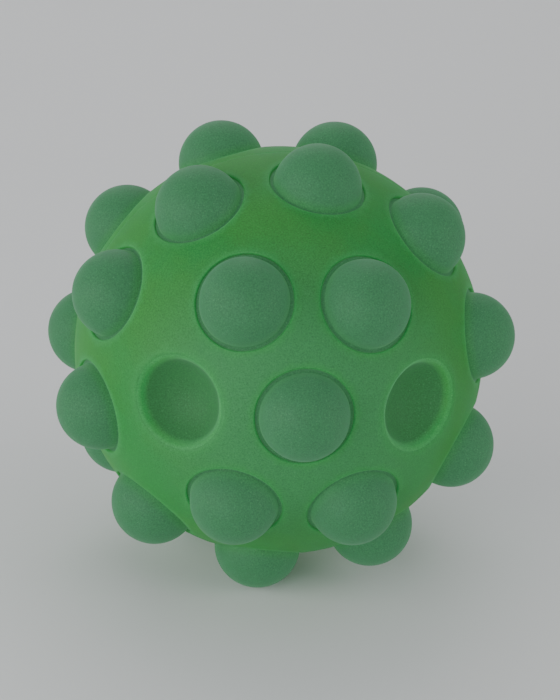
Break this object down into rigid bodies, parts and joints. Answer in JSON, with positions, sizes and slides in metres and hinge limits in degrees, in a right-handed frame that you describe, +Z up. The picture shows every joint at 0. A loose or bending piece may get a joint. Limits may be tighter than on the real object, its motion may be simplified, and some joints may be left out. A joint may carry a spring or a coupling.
{
  "type": "pop bubble stress ball",
  "caption": "Hollow soft silicone ball studded all over with round domed bubbles that each snap inwards when pressed and out again when the ball is squeezed.",
  "frame": {"origin": "on the table, straight below the ball's centre, which is 32.8 mm up: the ball lies on three raised bubbles", "axes": "+Z up from the table; -Y towards the front half's pole, which is tipped 3.5 degrees up; +X completes the right-handed frame"},
  "size_m": [0.0672, 0.0702, 0.0667],
  "materials": {
    "shell_silicone": "matte, frosted and slightly translucent, phosphorescent green",
    "bubble_silicone": "matte, frosted thin silicone, paler where light comes through",
    "seam_bond": "clear cured silicone bond"
  },
  "bodies": {
    "ball": {"front_shell": "shell_silicone", "rear_shell": "shell_silicone", "seam_bond": "seam_bond"},
    "front_bubble_pole": {"front_bubble_pole": "bubble_silicone"},
    "front_bubble_inner_1": {"front_bubble_inner_1": "bubble_silicone"},
    "front_bubble_inner_2": {"front_bubble_inner_2": "bubble_silicone"},
    "front_bubble_inner_3": {"front_bubble_inner_3": "bubble_silicone"},
    "front_bubble_inner_4": {"front_bubble_inner_4": "bubble_silicone"},
    "front_bubble_inner_5": {"front_bubble_inner_5": "bubble_silicone"},
    "front_bubble_inner_6": {"front_bubble_inner_6": "bubble_silicone"},
    "front_bubble_outer_1": {"front_bubble_outer_1": "bubble_silicone"},
    "front_bubble_outer_2": {"front_bubble_outer_2": "bubble_silicone"},
    "front_bubble_outer_3": {"front_bubble_outer_3": "bubble_silicone"},
    "front_bubble_outer_4": {"front_bubble_outer_4": "bubble_silicone"},
    "front_bubble_outer_5": {"front_bubble_outer_5": "bubble_silicone"},
    "front_bubble_outer_6": {"front_bubble_outer_6": "bubble_silicone"},
    "front_bubble_outer_7": {"front_bubble_outer_7": "bubble_silicone"},
    "front_bubble_outer_8": {"front_bubble_outer_8": "bubble_silicone"},
    "front_bubble_outer_9": {"front_bubble_outer_9": "bubble_silicone"},
    "front_bubble_outer_10": {"front_bubble_outer_10": "bubble_silicone"},
    "rear_bubble_pole": {"rear_bubble_pole": "bubble_silicone"},
    "rear_bubble_inner_1": {"rear_bubble_inner_1": "bubble_silicone"},
    "rear_bubble_inner_2": {"rear_bubble_inner_2": "bubble_silicone"},
    "rear_bubble_inner_3": {"rear_bubble_inner_3": "bubble_silicone"},
    "rear_bubble_inner_4": {"rear_bubble_inner_4": "bubble_silicone"},
    "rear_bubble_inner_5": {"rear_bubble_inner_5": "bubble_silicone"},
    "rear_bubble_inner_6": {"rear_bubble_inner_6": "bubble_silicone"},
    "rear_bubble_outer_1": {"rear_bubble_outer_1": "bubble_silicone"},
    "rear_bubble_outer_2": {"rear_bubble_outer_2": "bubble_silicone"},
    "rear_bubble_outer_3": {"rear_bubble_outer_3": "bubble_silicone"},
    "rear_bubble_outer_4": {"rear_bubble_outer_4": "bubble_silicone"},
    "rear_bubble_outer_5": {"rear_bubble_outer_5": "bubble_silicone"},
    "rear_bubble_outer_6": {"rear_bubble_outer_6": "bubble_silicone"},
    "rear_bubble_outer_7": {"rear_bubble_outer_7": "bubble_silicone"},
    "rear_bubble_outer_8": {"rear_bubble_outer_8": "bubble_silicone"},
    "rear_bubble_outer_9": {"rear_bubble_outer_9": "bubble_silicone"},
    "rear_bubble_outer_10": {"rear_bubble_outer_10": "bubble_silicone"}
  },
  "joints": [
    {"name": "front_bubble_pole_press", "type": "slide", "parent": "ball", "child": "front_bubble_pole", "axis": [0, 0.9981, -0.0611], "range_m": [0, 0.01016], "deforming": ["front_bubble_pole"]},
    {"name": "front_bubble_inner_1_press", "type": "slide", "parent": "ball", "child": "front_bubble_inner_1", "axis": [0.2826, 0.7827, -0.5545], "range_m": [0, 0.01016], "deforming": ["front_bubble_inner_1"]},
    {"name": "front_bubble_inner_2_press", "type": "slide", "parent": "ball", "child": "front_bubble_inner_2", "axis": [0.5792, 0.8131, -0.0579], "range_m": [-0.01016, 0], "deforming": ["front_bubble_inner_2"]},
    {"name": "front_bubble_inner_3_press", "type": "slide", "parent": "ball", "child": "front_bubble_inner_3", "axis": [0.2966, 0.844, 0.4469], "range_m": [0, 0.01016], "deforming": ["front_bubble_inner_3"]},
    {"name": "front_bubble_inner_4_press", "type": "slide", "parent": "ball", "child": "front_bubble_inner_4", "axis": [-0.2826, 0.8445, 0.4549], "range_m": [0, 0.01016], "deforming": ["front_bubble_inner_4"]},
    {"name": "front_bubble_inner_5_press", "type": "slide", "parent": "ball", "child": "front_bubble_inner_5", "axis": [-0.5792, 0.8141, -0.0417], "range_m": [-0.01016, 0], "deforming": ["front_bubble_inner_5"]},
    {"name": "front_bubble_inner_6_press", "type": "slide", "parent": "ball", "child": "front_bubble_inner_6", "axis": [-0.2966, 0.7832, -0.5464], "range_m": [0, 0.01016], "deforming": ["front_bubble_inner_6"]},
    {"name": "front_bubble_outer_1_press", "type": "slide", "parent": "ball", "child": "front_bubble_outer_1", "axis": [0.4616, 0.2729, -0.8441], "range_m": [0, 0.01016], "deforming": ["front_bubble_outer_1"]},
    {"name": "front_bubble_outer_2_press", "type": "slide", "parent": "ball", "child": "front_bubble_outer_2", "axis": [0.8588, 0.2991, -0.4159], "range_m": [0, 0.01016], "deforming": ["front_bubble_outer_2"]},
    {"name": "front_bubble_outer_3_press", "type": "slide", "parent": "ball", "child": "front_bubble_outer_3", "axis": [0.9281, 0.3345, 0.1636], "range_m": [0, 0.01016], "deforming": ["front_bubble_outer_3"]},
    {"name": "front_bubble_outer_4_press", "type": "slide", "parent": "ball", "child": "front_bubble_outer_4", "axis": [0.6428, 0.3657, 0.6731], "range_m": [0, 0.01016], "deforming": ["front_bubble_outer_4"]},
    {"name": "front_bubble_outer_5_press", "type": "slide", "parent": "ball", "child": "front_bubble_outer_5", "axis": [0.112, 0.3807, 0.9179], "range_m": [0, 0.01016], "deforming": ["front_bubble_outer_5"]},
    {"name": "front_bubble_outer_6_press", "type": "slide", "parent": "ball", "child": "front_bubble_outer_6", "axis": [-0.4616, 0.3738, 0.8045], "range_m": [0, 0.01016], "deforming": ["front_bubble_outer_6"]},
    {"name": "front_bubble_outer_7_press", "type": "slide", "parent": "ball", "child": "front_bubble_outer_7", "axis": [-0.8588, 0.3476, 0.3763], "range_m": [0, 0.01016], "deforming": ["front_bubble_outer_7"]},
    {"name": "front_bubble_outer_8_press", "type": "slide", "parent": "ball", "child": "front_bubble_outer_8", "axis": [-0.9281, 0.3121, -0.2032], "range_m": [0, 0.01016], "deforming": ["front_bubble_outer_8"]},
    {"name": "front_bubble_outer_9_press", "type": "slide", "parent": "ball", "child": "front_bubble_outer_9", "axis": [-0.6428, 0.2809, -0.7127], "range_m": [0, 0.01016], "deforming": ["front_bubble_outer_9"]},
    {"name": "front_bubble_outer_10_press", "type": "slide", "parent": "ball", "child": "front_bubble_outer_10", "axis": [-0.112, 0.2659, -0.9575], "range_m": [0, 0.01016], "deforming": ["front_bubble_outer_10"]},
    {"name": "rear_bubble_pole_press", "type": "slide", "parent": "ball", "child": "rear_bubble_pole", "axis": [0, -0.9981, 0.0611], "range_m": [0, 0.01016], "deforming": ["rear_bubble_pole"]},
    {"name": "rear_bubble_inner_1_press", "type": "slide", "parent": "ball", "child": "rear_bubble_inner_1", "axis": [0.179, -0.8473, -0.5001], "range_m": [0, 0.01016], "deforming": ["rear_bubble_inner_1"]},
    {"name": "rear_bubble_inner_2_press", "type": "slide", "parent": "ball", "child": "rear_bubble_inner_2", "axis": [0.5666, -0.821, -0.0704], "range_m": [0, 0.01016], "deforming": ["rear_bubble_inner_2"]},
    {"name": "rear_bubble_inner_3_press", "type": "slide", "parent": "ball", "child": "rear_bubble_inner_3", "axis": [0.3876, -0.7873, 0.4795], "range_m": [0, 0.01016], "deforming": ["rear_bubble_inner_3"]},
    {"name": "rear_bubble_inner_4_press", "type": "slide", "parent": "ball", "child": "rear_bubble_inner_4", "axis": [-0.179, -0.7799, 0.5997], "range_m": [0, 0.01016], "deforming": ["rear_bubble_inner_4"]},
    {"name": "rear_bubble_inner_5_press", "type": "slide", "parent": "ball", "child": "rear_bubble_inner_5", "axis": [-0.5666, -0.8062, 0.17], "range_m": [0, 0.01016], "deforming": ["rear_bubble_inner_5"]},
    {"name": "rear_bubble_inner_6_press", "type": "slide", "parent": "ball", "child": "rear_bubble_inner_6", "axis": [-0.3876, -0.8399, -0.3799], "range_m": [0, 0.01016], "deforming": ["rear_bubble_inner_6"]},
    {"name": "rear_bubble_outer_1_press", "type": "slide", "parent": "ball", "child": "rear_bubble_outer_1", "axis": [0.2924, -0.3783, -0.8783], "range_m": [0, 0.01016], "deforming": ["rear_bubble_outer_1"]},
    {"name": "rear_bubble_outer_2_press", "type": "slide", "parent": "ball", "child": "rear_bubble_outer_2", "axis": [0.7654, -0.3573, -0.5353], "range_m": [0, 0.01016], "deforming": ["rear_bubble_outer_2"]},
    {"name": "rear_bubble_outer_3_press", "type": "slide", "parent": "ball", "child": "rear_bubble_outer_3", "axis": [0.9461, -0.3233, 0.0198], "range_m": [0, 0.01016], "deforming": ["rear_bubble_outer_3"]},
    {"name": "rear_bubble_outer_4_press", "type": "slide", "parent": "ball", "child": "rear_bubble_outer_4", "axis": [0.7654, -0.2893, 0.5748], "range_m": [0, 0.01016], "deforming": ["rear_bubble_outer_4"]},
    {"name": "rear_bubble_outer_5_press", "type": "slide", "parent": "ball", "child": "rear_bubble_outer_5", "axis": [0.2924, -0.2683, 0.9179], "range_m": [0, 0.01016], "deforming": ["rear_bubble_outer_5"]},
    {"name": "rear_bubble_outer_6_press", "type": "slide", "parent": "ball", "child": "rear_bubble_outer_6", "axis": [-0.2924, -0.2683, 0.9179], "range_m": [0, 0.01016], "deforming": ["rear_bubble_outer_6"]},
    {"name": "rear_bubble_outer_7_press", "type": "slide", "parent": "ball", "child": "rear_bubble_outer_7", "axis": [-0.7654, -0.2893, 0.5748], "range_m": [0, 0.01016], "deforming": ["rear_bubble_outer_7"]},
    {"name": "rear_bubble_outer_8_press", "type": "slide", "parent": "ball", "child": "rear_bubble_outer_8", "axis": [-0.9461, -0.3233, 0.0198], "range_m": [0, 0.01016], "deforming": ["rear_bubble_outer_8"]},
    {"name": "rear_bubble_outer_9_press", "type": "slide", "parent": "ball", "child": "rear_bubble_outer_9", "axis": [-0.7654, -0.3573, -0.5353], "range_m": [0, 0.01016], "deforming": ["rear_bubble_outer_9"]},
    {"name": "rear_bubble_outer_10_press", "type": "slide", "parent": "ball", "child": "rear_bubble_outer_10", "axis": [-0.2924, -0.3783, -0.8783], "range_m": [0, 0.01016], "deforming": ["rear_bubble_outer_10"]}
  ]
}
